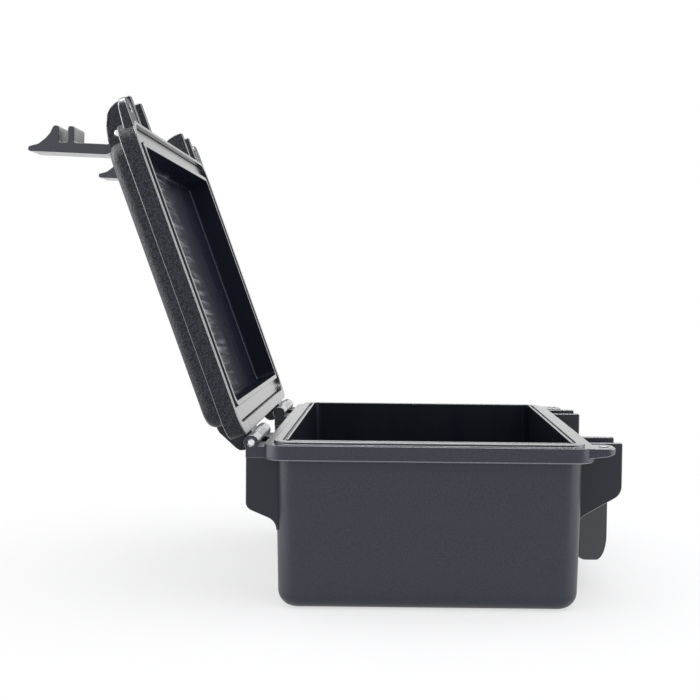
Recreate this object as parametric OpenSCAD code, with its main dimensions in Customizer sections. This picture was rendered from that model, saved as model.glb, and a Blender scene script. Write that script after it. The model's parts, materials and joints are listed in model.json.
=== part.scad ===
// Moulded hard tool case with a hinged lid, two lever latches and a folding carry handle.
// Millimetres. The origin is the centre of the tub's flat bottom, +Z is up and -Y is the latch side.
// It stands with the lid open against its stop, the latches swung up and the handle hanging.

/* [Tub] */
// Length of the rim flange, along the hinge
flange_l = 207; // [195:1:260]
// Width of the rim flange, front to back
flange_w = 146.8; // [125:0.2:190]
// Height of the parting plane above the bottom
rim_z = 74; // [70:1:110]
// Height of the flange band
flange_h = 7; // [5:0.1:7.5]
// Corner radius of the flange and lid, seen from above
flange_r = 10; // [9:0.5:14]
// How far the flange stands out from the tub wall
flange_out = 4.7; // [4:0.1:7]
// Thickness of the tub wall
wall_t = 5.6; // [3:0.1:6]
// Thickness of the tub floor
floor_t = 3; // [2:0.5:5]
// How far each tub wall leans in from rim to bottom
draft_in = 1.4; // [0.5:0.1:1.8]
// Radius of the tub's upright corners
corner_r = 9.5; // [9:0.1:12]
// Radius of the tub's bottom edge
bottom_r = 7.5; // [4:0.1:7.8]

/* [Rim] */
// How far the raised plateau is set in from the flange edge
plateau_in = 3.9; // [3.8:0.1:4.2]
// Height of the plateau above the parting plane
plateau_h = 1.2; // [0.8:0.1:1.4]
// Width of the sealing ridge at the mouth
ridge_w = 1.2; // [0.8:0.1:1.6]
// Height of the sealing ridge above the plateau
ridge_h = 0.2; // [0.1:0.1:0.6]
// Width of the groove outside the sealing ridge
groove_w = 1.5; // [0.6:0.1:1.8]
// Depth of that groove below the plateau
groove_d = 1.1; // [0.4:0.1:1.3]

/* [Lid] */
// Gap between the lid and the rim when shut
lid_gap = 0.2; // [0.1:0.05:0.3]
// Height of the lid's skirt
skirt_h = 7.8; // [7:0.1:9]
// How far the lid's outside sits back towards the hinges from the flange
lid_back = 1.8; // [0:0.1:1.9]
// Thickness of the skirt beside the gasket channel at the case's ends
skirt_t = 3.6; // [3.2:0.1:3.7]
// Height of the lid above the skirt
crown_h = 7.3; // [6.5:0.1:8]
// Step in from the skirt to the crown at the case's ends
crown_in = 1.5; // [1:0.1:2]
// Ledge from the skirt to the crown at the latches and at the hinges
crown_ledge = 7; // [6.5:0.1:8]
// How far each side of the crown leans in towards its top
crown_draft = 0.3; // [0.2:0.1:1]
// Radius of the crown's top edge
crown_r = 4.5; // [2:0.1:5]
// Thickness of the lid's top
lid_t = 3; // [2:0.1:4]
// Thickness of the lip inside the gasket channel
lip_t = 2.3; // [1.5:0.1:3]
// Clearance from the lid's lip to the tub's mouth
lip_gap = 0.8; // [0.4:0.1:1.2]
// Depth of the gasket channel
channel_d = 5; // [4.6:0.1:5.2]
// Thickness of the gasket
gasket_t = 2.9; // [1.5:0.1:3]
// Clearance at each side of the gasket
gasket_gap = 0.2; // [0.1:0.05:0.4]
// Angle of the open lid
lid_open = 110; // [90:1:115]

/* [Hinges] */
// Distance of the hinge axis behind the flange
hinge_out = 6; // [5.9:0.1:8]
// Radius of the hinge barrels
barrel_r = 3.4; // [3:0.1:3.6]
// Radius of the hinge and latch pins
pin_r = 1.6; // [1.2:0.1:1.8]
// Distance from the flange's end to a hinge's outer end
hinge_in = 9.9; // [9:0.1:18]
// Length of each ear on the tub
ear_l = 16; // [10:0.5:18]
// Length of the lid's barrel between two ears
knuckle_l = 21; // [15:0.5:24]
// Gap between the lid's barrel and each ear
knuckle_gap = 0.3; // [0.2:0.05:0.6]
// Thickness that closes the inner end of a hinge pin's bore
pin_cover = 2.5; // [1:0.1:4]
// Reach of the hinge bracket behind the hinge axis
bracket_back = 2.5; // [2.3:0.1:2.8]
// Thickness of the ribs and cheeks
rib_t = 3; // [2:0.1:3.5]

/* [Latches] */
// Distance from the flange's end to the outer face of a latch's outer cheek
latch_in = 22.7; // [21:0.1:29]
// Width of the gap that a latch swings in
latch_gap_w = 20; // [16:0.5:22]
// Side clearance of a latch in its gap
latch_side_gap = 0.5; // [0.3:0.1:0.8]
// Reach of the tub's cheeks in front of the flange
cheek_out = 14.9; // [13:0.1:17]
// Reach of the lid's cheeks in front of the lid
lid_cheek_out = 14; // [12:0.1:16]
// Height of the lid's cheeks
lid_cheek_h = 16.9; // [16:0.1:18]
// Distance of the latch pivot inside the flange's front edge
pivot_in = 2; // [1.6:0.1:2.1]
// Height of the latch pivot above the parting plane
pivot_up = 11.5; // [11:0.1:11.8]
// Radius of a latch's hub
hub_r = 4.2; // [3.5:0.1:4.2]
// Thickness of a latch's lever
lever_t = 4.7; // [3.5:0.1:5]
// Distance from the pivot to the lever's outer face
lever_out = 9.5; // [9:0.1:9.9]
// Distance from the pivot to the lever's tip
lever_l = 41.2; // [38:0.1:46]
// Angle of a latch swung up, from its shut position
latch_open = 158; // [120:1:159]

/* [Padlock tabs] */
// Distance from the flange's end to a tab's outer side
tab_in = 2.5; // [2:0.5:5]
// Width of a tab along the case
tab_w = 15; // [10:0.5:16]
// Reach of a tab in front of the flange
tab_out = 8.8; // [7:0.1:11]
// Distance of the shackle hole in front of the flange
shackle_out = 3.9; // [3.5:0.1:4.5]
// Radius of a tab's corners, seen from above
tab_r = 4.5; // [2:0.1:5]
// Thickness of a tab at its root
tab_t = 4.9; // [3:0.1:5.5]
// Radius of the shackle hole
shackle_r = 2.5; // [1.5:0.1:3]

/* [Handle] */
// Distance of the handle's pivot in front of the flange
handle_pivot_out = 5.4; // [5:0.1:6]
// Distance of the handle's pivot below the parting plane
handle_pivot_down = 13.8; // [13.6:0.1:18]
// Half the depth of the handle, front to back
handle_half = 7.4; // [6:0.1:7.6]
// Distance from the pivot down to the handle's lower edge
handle_drop = 45.5; // [38:0.5:48]
// Height of the grip
grip_h = 18; // [12:0.5:22]
// Thickness of each handle arm
arm_t = 10; // [7:0.5:14]
// Side clearance of the handle between the cheeks
handle_side_gap = 0.5; // [0.3:0.1:0.8]
// Radius of the handle's pins
handle_pin_r = 2; // [1.5:0.1:2.5]

/* [Hidden] */
$fn = 64;

// Overrun of the cuts, clearance of a turning pin in its bore, and of a fixed pin in its seat
cut = 0.02;
turning_gap = 0.06;
seat_gap = 0.02;
// Clearance kept at a stop
stop_gap = 0.3;
// Facets of a rounded corner inside a hull
hull_fn = 32;

// Tub
tub_l = flange_l - 2 * flange_out;
tub_w = flange_w - 2 * flange_out;
mouth_l = tub_l - 2 * wall_t;
mouth_w = tub_w - 2 * wall_t;
mouth_r = corner_r - wall_t;
front_y = -flange_w / 2;
wall_mid = (tub_w - wall_t) / 2;

// Lid, in the shut position
lid_z = rim_z + lid_gap;
lid_front_y = front_y + lid_back;
lid_rear_y = flange_w / 2 + lid_back;
crown_z = lid_z + skirt_h;
lid_top = crown_z + crown_h;
lid_mouth_l = mouth_l - 2 * (lip_t + lip_gap);
lid_mouth_w = mouth_w - 2 * (lip_t + lip_gap);
lid_mouth_r = mouth_r;
channel_z = lid_z + channel_d;
crown_overlap = skirt_h / 4;

// Hinge
hinge_y = flange_w / 2 + hinge_out;
hinge_end = flange_l / 2 - hinge_in;
hinge_len = 2 * ear_l + knuckle_l + 2 * knuckle_gap;
knuckle_start = ear_l + knuckle_gap;
// The shelf is the lid's stop: the back of the lid's arms comes down on its rear edge
shelf_top = rim_z
    - (barrel_r + stop_gap - bracket_back * cos(lid_open)) / sin(lid_open);
shelf_t = 2.5;
ear_block_top = rim_z - 0.42 * barrel_r;
bracket_inset = 0.6;
rear_slope = 23;
rear_corner_r = 4;
rear_corner_down = 26.8;
rear_foot_r = 6;

// Latch
latch_end = flange_l / 2 - latch_in;
tab_end = flange_l / 2 - tab_in;
tab_tip_share = 0.6;
pivot_y = front_y + pivot_in;
pivot_z = rim_z + pivot_up;
bracket_w = latch_gap_w + 2 * rib_t;
latch_w = latch_gap_w - 2 * latch_side_gap;
lever_in = lever_out - lever_t;
front_slope = 30;
front_corner_r = 6.5;
front_corner_down = 19.8;
front_foot_r = 4;
post_t = 3;
post_end = 2.6;
lower_post = 27.3;
upper_post = 23.3;
keeper_gap = 0.6;
keeper_top = upper_post + keeper_gap;
keeper_bottom = lower_post - keeper_gap;
keeper_out = 5.2;
recess_back = 6;

// Lid cheek outline: shares of the cheek's reach from the lid's front and of its height
lid_cheek_shares = [[1, 0], [0.99, 0.24], [0.92, 0.49], [0.81, 0.67], [0.67, 0.78],
    [0.52, 0.85], [0.34, 0.905], [0.11, 0.95], [-0.12, 0.985], [-0.4, 1], [-0.57, 0.97],
    [-0.68, 0.88], [-0.75, 0.76], [-0.54, 0.6], [-0.3, 0.38], [-0.3, 0]];
// Lid hinge arm outline: shares of its reach from the lid's edge and of the lid's height
arm_shares = [[-1.35, 0.82], [-1.25, 0.96], [-0.8, 0.985], [-0.5, 0.96], [-0.19, 0.89],
    [0.12, 0.81], [0.42, 0.72], [0.72, 0.645], [0.93, 0.56], [1, 0.45], [1, 0],
    [0.3, 0], [0, 0.12], [-0.2, 0.12]];

// Handle
handle_y = front_y - handle_pivot_out;
handle_z = rim_z - handle_pivot_down;
handle_end = latch_end - bracket_w - handle_side_gap;
handle_top_r = handle_half;
heel_r = 5;
heel_h = 12;
grip_r = 5;

// Points of an arc; with two radii it is an arc of an ellipse
function arc(c, r, from, to, steps = 8, r2 = 0) =
    [for (i = [0:steps]) let (a = from + (to - from) * i / steps)
        c + [r * cos(a), (r2 > 0 ? r2 : r) * sin(a)]];

// Half width of the tub wall's outer face at a height
function tub_half(z) = tub_w / 2 - draft_in * (1 - z / (rim_z - flange_h));

// Bracket outline under the rim: a straight outer edge, a round corner, a sloping
// underside and a fillet into the wall. The first value runs outwards from the case's middle.
function bracket_outline(face, top, corner_r, corner_z, slope, foot_r, wall) =
    let (corner = [face - corner_r, corner_z],
         normal = [sin(slope), -cos(slope)],
         run = (corner[0] - wall - foot_r) * sin(slope) + corner_r + foot_r,
         foot = [wall + foot_r, corner_z - run / cos(slope)])
    concat([[wall_mid, top], [face, top]],
        arc(corner, corner_r, 0, slope - 90),
        arc(foot, foot_r, 90 + slope, 180),
        [[wall_mid, foot[1]]]);

// Draws a (y, z) outline and runs it along X from x0 to x1
module along_x(x0, x1) {
    translate([x0, 0, 0]) rotate([90, 0, 90]) linear_extrude(x1 - x0) children();
}

module rounded_plate(l, w, r, z0, z1) {
    translate([0, 0, z0]) linear_extrude(z1 - z0) union() {
        square([l - 2 * r, w], center = true);
        square([l, w - 2 * r], center = true);
        for (x = [-1, 1], y = [-1, 1])
            translate([x * (l / 2 - r), y * (w / 2 - r)]) circle(r);
    }
}

// Box with round upright corners, a rounded end at z0 and straight draft up to z1
module drafted_box(l, w, r, edge_r, lean, z0, z1) {
    flip = z1 > z0 ? 1 : -1;
    hull() {
        for (x = [-1, 1], y = [-1, 1]) {
            translate([x * (l / 2 - r), y * (w / 2 - r), min(z1, z1 - flip * cut)])
                cylinder(r = r, h = cut, $fn = hull_fn);
            for (a = [0:15:90])
                translate([x * (l / 2 - lean - r), y * (w / 2 - lean - r),
                    z0 + flip * edge_r * (1 - sin(a)) - (flip < 0 ? cut : 0)])
                    cylinder(r = r - edge_r * (1 - cos(a)), h = cut, $fn = hull_fn);
        }
    }
}

module at_both_ends() {
    children();
    mirror([1, 0, 0]) children();
}

module lid_pose() {
    translate([0, hinge_y, rim_z]) rotate([-lid_open, 0, 0]) translate([0, -hinge_y, -rim_z])
        children();
}

module latch_pose() {
    translate([0, pivot_y, pivot_z]) rotate([-latch_open, 0, 0])
        translate([0, -pivot_y, -pivot_z]) children();
}

module bar_x(x0, x1, y, z, r) {
    translate([x0, y, z]) rotate([0, 90, 0]) cylinder(r = r, h = x1 - x0);
}

// Tub wall bracket for one latch: two cheeks and the keeper bar between them
module front_bracket() {
    outline = bracket_outline(flange_w / 2 + cheek_out, rim_z, front_corner_r,
        rim_z - front_corner_down, front_slope, front_foot_r, tub_half(rim_z / 2));
    for (x = [-latch_end, -latch_end + rib_t + latch_gap_w])
        along_x(x, x + rib_t) mirror([1, 0]) polygon(outline);
    translate([-latch_end, -tub_half(pivot_z - keeper_top) - keeper_out, pivot_z - keeper_bottom])
        cube([bracket_w, keeper_out + wall_t / 2, keeper_bottom - keeper_top]);
}

// Hinge bracket: two ears on a shelf, carried by four ribs
module rear_bracket() {
    back = hinge_y + bracket_back;
    outline = bracket_outline(back, shelf_top - shelf_t / 2, rear_corner_r,
        rim_z - rear_corner_down, rear_slope, rear_foot_r, tub_half(rim_z / 2));
    for (x = [-hinge_end, -hinge_end + hinge_len - ear_l]) {
        along_x(x, x + ear_l) union() {
            translate([hinge_y, rim_z]) circle(barrel_r);
            translate([wall_mid, shelf_top - cut])
                square([hinge_y - wall_mid, ear_block_top - shelf_top + cut]);
            translate([hinge_y, shelf_top - cut])
                square([bracket_back, rim_z - barrel_r / 2 - shelf_top]);
        }
    }
    for (x = [-hinge_end + bracket_inset, -hinge_end + ear_l - rib_t,
              -hinge_end + hinge_len - ear_l, -hinge_end + hinge_len - rib_t - bracket_inset])
        along_x(x, x + rib_t) polygon(outline);
    translate([-hinge_end + bracket_inset, wall_mid, shelf_top - shelf_t])
        cube([hinge_len - 2 * bracket_inset, back - wall_mid, shelf_t]);
}

// Tab that reaches back by root behind its outer part and thins towards its round tip.
// It hangs below z for the tub and stands on z for the lid.
module tab(z, side, root) {
    translate([-tab_end, front_y - tab_out, 0]) intersection() {
        along_x(0, tab_w) polygon([[0, z], [tab_out + root, z],
            [tab_out + root, z + side * tab_t], [tab_out, z + side * tab_t],
            [0, z + side * tab_tip_share * tab_t]]);
        translate([0, 0, z - tab_t]) linear_extrude(2 * tab_t) union() {
            translate([0, tab_r]) square([tab_w, tab_out + root - tab_r]);
            translate([tab_r, 0]) square([tab_w - 2 * tab_r, tab_out + root]);
            for (x = [tab_r, tab_w - tab_r]) translate([x, tab_r]) circle(tab_r);
        }
    }
}

module shackle_hole(z0, z1) {
    translate([-tab_end + 0.43 * tab_w, front_y - shackle_out, z0 - cut])
        cylinder(r = shackle_r, h = z1 - z0 + 2 * cut);
}

module base_shell() {
    color("#2b2c30") difference() {
        union() {
            drafted_box(tub_l, tub_w, corner_r, bottom_r, draft_in, 0, rim_z - flange_h / 2);
            rounded_plate(flange_l, flange_w, flange_r, rim_z - flange_h, rim_z);
            rounded_plate(flange_l - 2 * plateau_in, flange_w - 2 * plateau_in,
                flange_r - plateau_in, rim_z - cut, rim_z + plateau_h);
            rounded_plate(mouth_l + 2 * ridge_w, mouth_w + 2 * ridge_w, mouth_r + ridge_w,
                rim_z, rim_z + plateau_h + ridge_h);
            at_both_ends() {
                front_bracket();
                rear_bracket();
                tab(rim_z, -1, flange_out);
            }
        }
        drafted_box(mouth_l, mouth_w, mouth_r, mouth_r * 0.9, draft_in, floor_t,
            rim_z + plateau_h + ridge_h + cut);
        difference() {
            rounded_plate(mouth_l + 2 * (ridge_w + groove_w), mouth_w + 2 * (ridge_w + groove_w),
                mouth_r + ridge_w + groove_w, rim_z + plateau_h - groove_d,
                rim_z + plateau_h + ridge_h);
            rounded_plate(mouth_l + 2 * ridge_w, mouth_w + 2 * ridge_w, mouth_r + ridge_w,
                rim_z, rim_z + plateau_h + ridge_h + cut);
        }
        at_both_ends() {
            shackle_hole(rim_z - tab_t, rim_z);
            bar_x(-hinge_end - cut, -hinge_end + hinge_len - pin_cover + seat_gap, hinge_y,
                rim_z, pin_r + seat_gap);
            bar_x(-latch_end + latch_gap_w + rib_t - cut, -latch_end + bracket_w + cut,
                handle_y, handle_z, handle_pin_r + seat_gap);
        }
    }
}

// Barrel of the lid between two ears, with the arm that joins it to the lid
module lid_hinge() {
    x0 = -hinge_end + knuckle_start;
    reach = hinge_y + barrel_r - lid_rear_y;
    along_x(x0, x0 + knuckle_l) union() {
        translate([hinge_y, rim_z]) circle(barrel_r);
        difference() {
            polygon([for (s = arm_shares)
                [lid_rear_y + s[0] * reach, rim_z + s[1] * (lid_top - rim_z)]]);
            translate([0, rim_z - barrel_r]) square([hinge_y - barrel_r, barrel_r + lid_gap]);
        }
    }
}

module lid_cheeks() {
    for (x = [-latch_end, -latch_end + rib_t + latch_gap_w])
        along_x(x, x + rib_t) polygon([for (s = lid_cheek_shares)
            [lid_front_y - s[0] * lid_cheek_out, lid_z + s[1] * lid_cheek_h]]);
}

// Room for the latch's hub and for its lever swung up
module latch_recess() {
    x0 = -latch_end + rib_t;
    bar_x(x0, x0 + latch_gap_w, pivot_y, pivot_z, hub_r + stop_gap);
    translate([x0, pivot_y - hub_r, pivot_z])
        cube([latch_gap_w, hub_r + recess_back, lid_top - pivot_z + cut]);
}

module lid_shell() {
    color("#2b2c30") lid_pose() difference() {
        union() {
            translate([0, lid_back, 0]) {
                rounded_plate(flange_l, flange_w, flange_r, lid_z, crown_z);
                drafted_box(flange_l - 2 * crown_in, flange_w - 2 * crown_ledge,
                    flange_r - crown_in, crown_r, crown_draft, lid_top,
                    crown_z - crown_overlap);
            }
            at_both_ends() {
                lid_hinge();
                lid_cheeks();
                tab(lid_z, 1, (skirt_t + lid_back) / 2);
            }
        }
        rounded_plate(lid_mouth_l, lid_mouth_w, lid_mouth_r, lid_z - cut, lid_top - lid_t);
        difference() {
            rounded_plate(flange_l - 2 * skirt_t, flange_w - 2 * skirt_t, flange_r - skirt_t,
                lid_z - cut, channel_z);
            rounded_plate(lid_mouth_l + 2 * lip_t, lid_mouth_w + 2 * lip_t,
                lid_mouth_r + lip_t, lid_z - 2 * cut, channel_z + cut);
        }
        at_both_ends() {
            latch_recess();
            shackle_hole(lid_z, lid_z + tab_t);
            bar_x(-hinge_end + ear_l, -hinge_end + hinge_len - ear_l, hinge_y, rim_z,
                pin_r + turning_gap);
            bar_x(-latch_end - cut, -latch_end + bracket_w + cut, pivot_y, pivot_z,
                pin_r + seat_gap);
        }
    }
}

module lid_gasket() {
    outer = skirt_t + gasket_gap;
    inner = lip_t + gasket_gap;
    color("#1b1c1e") lid_pose() difference() {
        rounded_plate(flange_l - 2 * outer, flange_w - 2 * outer, flange_r - outer,
            channel_z - gasket_t, channel_z);
        rounded_plate(lid_mouth_l + 2 * inner, lid_mouth_w + 2 * inner, lid_mouth_r + inner,
            channel_z - gasket_t - cut, channel_z + cut);
    }
}

module hinge_pin() {
    color("#c8cbd0")
        bar_x(-hinge_end, -hinge_end + hinge_len - pin_cover, hinge_y, rim_z, pin_r);
}

// Lever seen from the side, around its pivot. The first value runs inwards, the second up.
module lever_outline() {
    tip_r = lever_t / 4;
    shoulder = hub_r / sqrt(2);
    union() {
        circle(hub_r);
        polygon(concat(
            [[0, 0], [-shoulder, shoulder], [-lever_out, -hub_r * 1.2]],
            arc([-lever_out + tip_r, -lever_l + tip_r], tip_r, 180, 300, 4),
            [[-lever_out + 2.2 * tip_r, -lever_l + 2 * tip_r],
             [-lever_in - tip_r, -lever_l + lever_t],
             [-lever_in + tip_r, -lever_l + 1.6 * lever_t],
             [post_end - 3 * tip_r, -lower_post - post_t - tip_r],
             [post_end - post_t / 2, -lower_post - post_t],
             [post_end - post_t / 2, -lower_post],
             [-lever_in, -lower_post], [-lever_in, -hub_r], [0, -hub_r * 0.9]]));
        for (u = [lower_post + post_t / 2, upper_post - post_t / 2]) {
            translate([-lever_in - cut, -u - post_t / 2])
                square([lever_in + post_end - post_t / 2 + cut, post_t]);
            translate([post_end - post_t / 2, -u]) circle(post_t / 2);
        }
    }
}

module latch() {
    x0 = -latch_end + rib_t + latch_side_gap;
    color("#2f3035") lid_pose() latch_pose() difference() {
        translate([0, pivot_y, pivot_z]) along_x(x0, x0 + latch_w) lever_outline();
        bar_x(x0 - cut, x0 + latch_w + cut, pivot_y, pivot_z, pin_r + turning_gap);
    }
}

module latch_pin() {
    color("#c8cbd0") lid_pose()
        bar_x(-latch_end, -latch_end + bracket_w, pivot_y, pivot_z, pin_r);
}

// Side of the handle around its pivot: round head, straight sides and a rounded foot
module handle_outline() {
    union() {
        circle(handle_top_r);
        polygon(concat([[handle_half, 0]],
            arc([handle_half - heel_r, heel_r - handle_drop], heel_r, 0, -90),
            arc([heel_r - handle_half, heel_h - handle_drop], heel_r, -90, -180, 8, heel_h),
            [[-handle_half, 0]]));
    }
}

module grip_outline() {
    top = grip_h - handle_drop;
    intersection() {
        handle_outline();
        union() {
            translate([-handle_half, -handle_drop])
                square([2 * handle_half, grip_h - grip_r]);
            translate([-handle_half + grip_r, top - 2 * grip_r])
                square([2 * (handle_half - grip_r), 2 * grip_r]);
            for (y = [-1, 1])
                translate([y * (handle_half - grip_r), top - grip_r]) circle(grip_r);
        }
    }
}

module carry_handle() {
    color("#2f3035") difference() {
        translate([0, handle_y, handle_z]) union() {
            at_both_ends() along_x(-handle_end, -handle_end + arm_t) handle_outline();
            along_x(-handle_end + arm_t / 2, handle_end - arm_t / 2) grip_outline();
        }
        at_both_ends() bar_x(-handle_end - cut, -handle_end + arm_t + cut,
            handle_y, handle_z, handle_pin_r + turning_gap);
    }
}

module handle_pin() {
    color("#c8cbd0") bar_x(-latch_end + latch_gap_w + rib_t, -handle_end + arm_t,
        handle_y, handle_z, handle_pin_r);
}

base_shell();
lid_shell();
lid_gasket();
hinge_pin();  // hinge_pin_left
mirror([1, 0, 0]) hinge_pin();  // hinge_pin_right
latch();  // latch_left
mirror([1, 0, 0]) latch();  // latch_right
latch_pin();  // latch_pin_left
mirror([1, 0, 0]) latch_pin();  // latch_pin_right
carry_handle();
handle_pin();  // handle_pin_left
mirror([1, 0, 0]) handle_pin();  // handle_pin_right
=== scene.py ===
"""Moulded tool case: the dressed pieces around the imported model, the stage and the camera."""
import json
import math
from functools import partial

import bmesh
import bpy
from bpy.props import FloatProperty, PointerProperty, StringProperty
from mathutils import Matrix, Vector


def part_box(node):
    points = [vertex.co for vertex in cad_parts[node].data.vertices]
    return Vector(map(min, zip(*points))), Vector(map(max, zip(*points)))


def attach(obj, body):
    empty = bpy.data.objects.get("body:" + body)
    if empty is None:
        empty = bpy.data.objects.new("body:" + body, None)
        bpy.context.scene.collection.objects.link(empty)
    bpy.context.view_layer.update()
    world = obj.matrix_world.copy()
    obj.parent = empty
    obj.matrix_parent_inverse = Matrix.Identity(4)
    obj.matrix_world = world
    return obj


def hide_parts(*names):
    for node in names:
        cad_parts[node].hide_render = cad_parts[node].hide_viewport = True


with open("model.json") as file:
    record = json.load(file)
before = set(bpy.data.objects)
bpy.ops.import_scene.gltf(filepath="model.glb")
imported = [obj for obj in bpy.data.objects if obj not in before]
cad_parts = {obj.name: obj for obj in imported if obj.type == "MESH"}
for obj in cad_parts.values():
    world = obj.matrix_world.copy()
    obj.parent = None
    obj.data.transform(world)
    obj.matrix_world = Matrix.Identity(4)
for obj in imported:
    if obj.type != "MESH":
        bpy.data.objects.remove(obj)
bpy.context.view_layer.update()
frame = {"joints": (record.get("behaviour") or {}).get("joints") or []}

bl_info = {
    "name": "Tool case",
    "version": (1, 0, 0),
    "blender": (4, 5, 0),
    "location": "View3D > Sidebar > Tool case",
    "description": "Builds the pieces, finishes, floor and camera of a moulded tool case",
    "category": "Object",
}

MM = 0.001
JOINTS = {joint["name"]: joint for joint in frame["joints"]}
BASE_LOW, BASE_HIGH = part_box("base_shell")
# Steps around a corner of the case, around a corner of an outline and around a turned piece
RING_STEPS = 14
ROUND_STEPS = 5
TURN_STEPS = 48
SHARP_ANGLE = math.radians(38)
# An edge with a larger radius gets more steps
LARGE_EDGE = 3 * MM
# How near a face lies to a surface that it belongs to, and how level it is to count as flat
TOUCH = 0.1 * MM
FLAT = 0.95
# Radial play of a pin in its fixed seat, and in the piece that turns on it
SEAT_PLAY = 0.02 * MM
TURN_PLAY = 0.06 * MM

HINGE = Vector(JOINTS["lid_hinge"]["pos_m"])
LID_OPEN = math.radians(JOINTS["lid_hinge"]["range_deg"][1])
LATCH_OPEN = math.radians(JOINTS["left_latch_pivot"]["range_deg"][1])
HANDLE_PIVOT = Vector(JOINTS["handle_pivot"]["pos_m"])


def about(point, angle):
    """Matrix that turns by an angle about the line along X through a point."""
    return Matrix.Translation(point) @ Matrix.Rotation(angle, 4, "X") @ Matrix.Translation(-point)


# The lid and its latches are modelled shut and turned open, each about its own joint
LID_POSE = about(HINGE, -LID_OPEN)
LATCH_PIVOT = LID_POSE.inverted() @ Vector(JOINTS["left_latch_pivot"]["pos_m"])
LATCH_POSE = LID_POSE @ about(LATCH_PIVOT, -LATCH_OPEN)


def size(name, description, millimetres):
    """A length that the user can change."""
    return FloatProperty(
        name=name, description=description, default=millimetres * MM, min=0.0,
        precision=5, unit="LENGTH", subtype="DISTANCE")


def colour(name, description, hex_code):
    """A colour that the user can change, given as an sRGB hex code."""
    return StringProperty(name=name, description=description, default=hex_code)


def power(name, description, watts):
    """A lamp's power that the user can change."""
    return FloatProperty(name=name, description=description, default=watts, min=0, unit="POWER")


class ShellSizes(bpy.types.PropertyGroup):
    """Sizes that the tub and the lid share."""
    length: size("Rim length", "Length of the rim along the hinge", (BASE_HIGH.x - BASE_LOW.x) / MM)
    width: size("Rim width", "Width of the rim from the latches to the hinges", 146.8)
    corner: size("Rim corner", "Radius of the rim's corners, seen from above", 10)
    lid_back: size("Lid setback", "How far the lid's outside sits back from the rim's front", 1.8)
    cheek_reach: size("Cheek reach", "Reach of the tub's latch cheeks in front of the rim", 14.9)
    lid_cheek_reach: size("Lid cheek reach", "Reach of the lid's latch cheeks in front of the lid", 14)
    cheek: size("Cheek thickness", "Thickness of the cheeks and ribs", 3)
    latch_inset: size("Latch inset", "From the rim's end to the outer latch cheek", 22.7)
    latch_gap: size("Latch gap", "Width of the gap that a latch swings in", 20)
    hinge_inset: size("Hinge inset", "From the rim's end to the hinge's outer end", 9.9)
    ear: size("Ear length", "Length of each hinge ear", 16)
    knuckle: size("Knuckle length", "Length of the lid's barrel between two ears", 21)
    knuckle_gap: size("Knuckle gap", "Gap between the lid's barrel and an ear", 0.3)
    barrel: size("Barrel radius", "Radius of the hinge barrels", 3.4)
    pin: size("Pin radius", "Radius of the hinge and latch pins", 1.6)
    pin_cover: size("Pin cover", "Thickness that closes a hinge bore's inner end", 2.5)
    tab_inset: size("Tab inset", "From the rim's end to a padlock tab's outer side", 2.5)
    tab_width: size("Tab width", "Width of a padlock tab along the case", 15)
    tab_reach: size("Tab reach", "Reach of a padlock tab in front of the rim", 8.8)
    tab: size("Tab thickness", "Thickness of a padlock tab at its root", 4.9)
    tab_corner: size("Tab corner", "Radius of a padlock tab's corners", 4.5)
    shackle: size("Shackle hole", "Radius of the padlock's hole", 2.5)
    shackle_out: size("Shackle hole reach", "Distance of the padlock's hole from the rim", 3.9)


class TubSizes(bpy.types.PropertyGroup):
    """Sizes of the tub."""
    flange: size("Flange height", "Height of the band around the rim", 7)
    overhang: size("Flange overhang", "How far the flange stands out from the wall", 4.7)
    corner: size("Wall corner", "Radius of the tub's upright corners", 9.5)
    bottom_edge: size("Bottom edge", "Radius of the tub's bottom edge", 7.5)
    draft: size("Draft", "How far a wall leans in from rim to bottom", 1.4)
    wall: size("Wall thickness", "Thickness of the tub's wall", 5.6)
    floor: size("Floor thickness", "Thickness of the tub's floor", 3)
    plateau_inset: size("Plateau inset", "From the rim's edge to the raised plateau", 3.9)
    plateau: size("Plateau height", "Height of the plateau above the rim", 1.2)
    groove: size("Groove width", "Width of the groove outside the sealing ridge", 1.5)
    groove_depth: size("Groove depth", "Depth of that groove", 1.1)
    ridge: size("Ridge width", "Width of the sealing ridge", 1.2)
    ridge_height: size("Ridge height", "Height of the sealing ridge above the plateau", 0.2)


class LidSizes(bpy.types.PropertyGroup):
    """Sizes of the lid and its seal."""
    gap: size("Rim gap", "Gap between the shut lid and the rim", 0.2)
    skirt: size("Skirt height", "Height of the lid's skirt", 7.8)
    skirt_wall: size("Skirt thickness", "Thickness of the skirt beside the seal, at the ends", 3.6)
    crown: size("Crown height", "Height of the lid above its skirt", 7.3)
    crown_inset: size("Crown step", "Step in from the skirt to the crown at the ends", 1.5)
    crown_ledge: size("Crown ledge", "Ledge from the skirt to the crown at the latches and hinges", 7)
    crown_draft: size("Crown draft", "How far a crown's side leans in", 0.3)
    crown_edge: size("Crown edge", "Radius of the crown's edge", 4.5)
    top: size("Top thickness", "Thickness of the lid's top", 3)
    lip: size("Lip thickness", "Thickness of the lip inside the seal", 2.3)
    lip_gap: size("Lip gap", "Clearance from the lip to the tub's mouth", 0.8)
    channel: size("Channel depth", "Depth of the seal's channel", 5)
    cheek_height: size("Cheek height", "Height of the lid's latch cheeks", 16.9)
    seal: size("Seal thickness", "Thickness of the rubber seal", 2.9)
    seal_gap: size("Seal clearance", "Clearance at each side of the seal", 0.3)


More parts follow.
